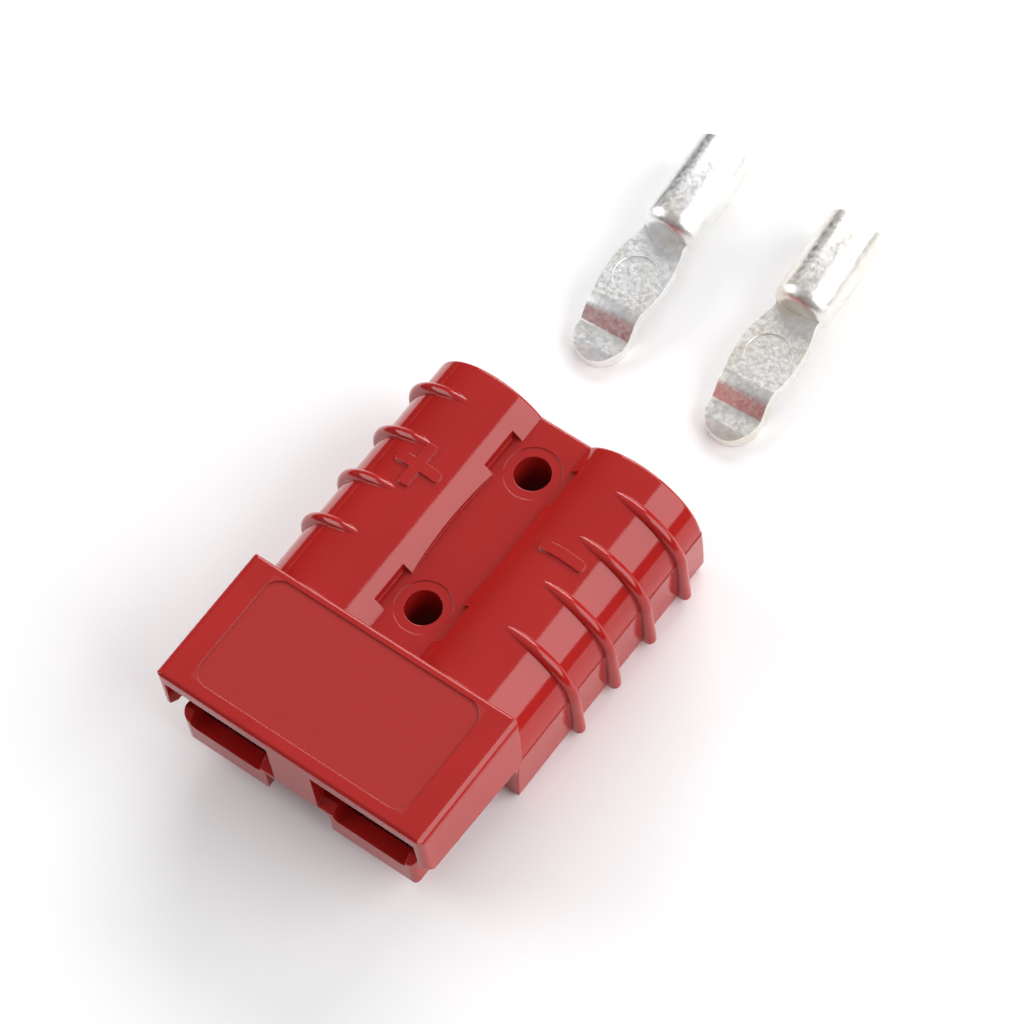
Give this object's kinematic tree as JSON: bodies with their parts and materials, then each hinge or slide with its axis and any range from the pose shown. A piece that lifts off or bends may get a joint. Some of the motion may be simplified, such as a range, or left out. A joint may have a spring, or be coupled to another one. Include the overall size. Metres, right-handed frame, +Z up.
{
  "type": "genderless power connector",
  "caption": "Two-pole genderless power connector: hooded one-piece housing with ribbed round barrels, leaf springs inside, and loose crimp contacts.",
  "frame": {"origin": "on the underside of the housing, half-way between the two mounting holes", "axes": "+Y from the mating face to the wire end, +Z up through the hood, +X to the negative pole"},
  "size_m": [0.0366, 0.0895, 0.0159],
  "materials": {
    "housing_plastic": "moulded red plastic, glossy barrels and a faintly grained hood",
    "spring_steel": "plain stainless strip",
    "plated_copper": "bright silver plate over copper, speckled by the tumbler"
  },
  "bodies": {
    "root": {"housing": "housing_plastic", "spring_positive": "spring_steel", "spring_negative": "spring_steel", "contact_positive": "plated_copper", "contact_negative": "plated_copper"}
  },
  "joints": []
}
